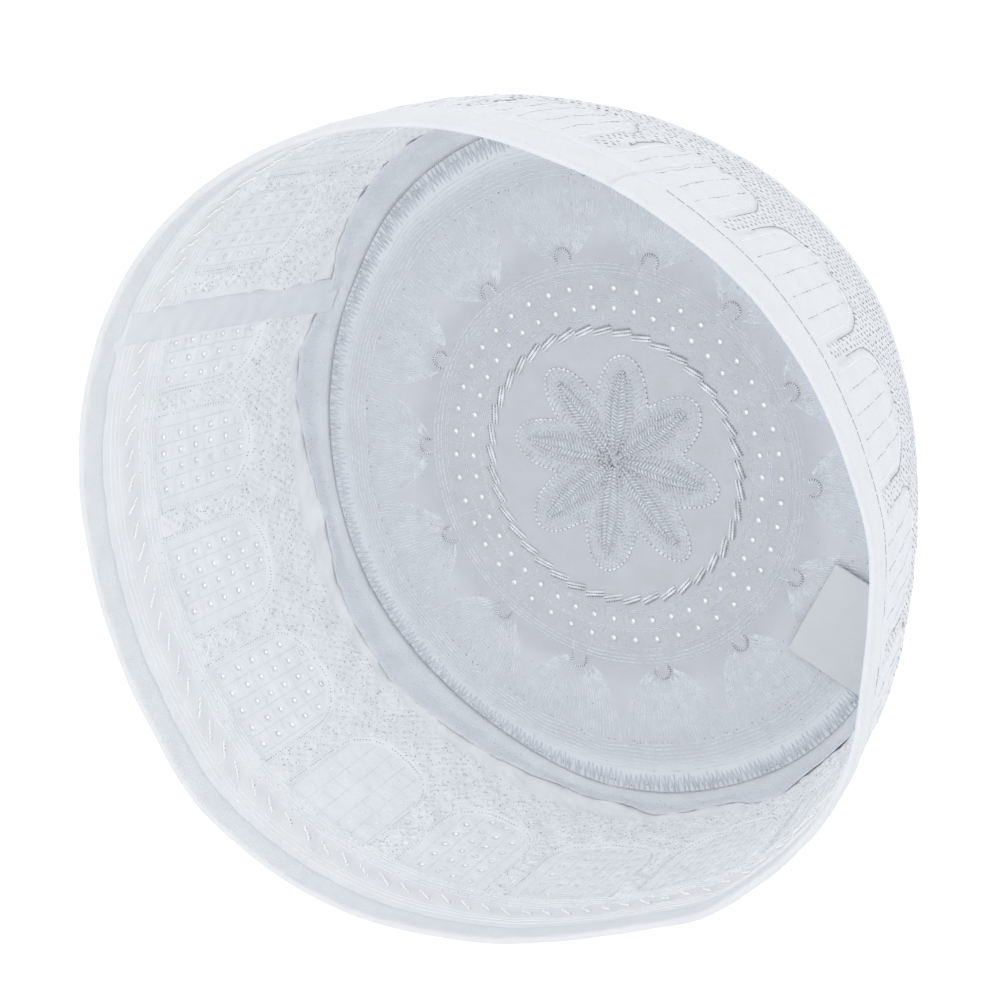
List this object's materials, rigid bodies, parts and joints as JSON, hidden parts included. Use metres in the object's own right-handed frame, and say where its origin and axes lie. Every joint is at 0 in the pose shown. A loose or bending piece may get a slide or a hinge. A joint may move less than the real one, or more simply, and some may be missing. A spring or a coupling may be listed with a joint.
{
  "type": "kufi",
  "caption": "Soft brimless embroidered cap: a flat round pierced crown sewn to a tapered band with a folded hem, resting on its crown.",
  "frame": {"origin": "middle of the crown's flat outer face, which the cap rests on, under the middle of the crown's flower", "axes": "+Z out of the head opening, +Y towards the band's back seam, +X to the wearer's side"},
  "size_m": [0.1876, 0.1928, 0.0773],
  "materials": {
    "crown_cloth": "thin white cotton blend, embroidered in white satin thread and pierced by small eyelets",
    "band_cloth": "white cotton blend, embroidered with arches over a dense pitted mesh ground",
    "flap_cloth": "plain smooth white seam allowance",
    "strip_cloth": "plain smooth white cloth over the join",
    "tag_cloth": "bare white woven tag"
  },
  "bodies": {
    "root": {"crown": "crown_cloth", "band": "band_cloth", "seam_flap": "flap_cloth", "back_seam": "strip_cloth", "label": "tag_cloth"}
  },
  "joints": []
}
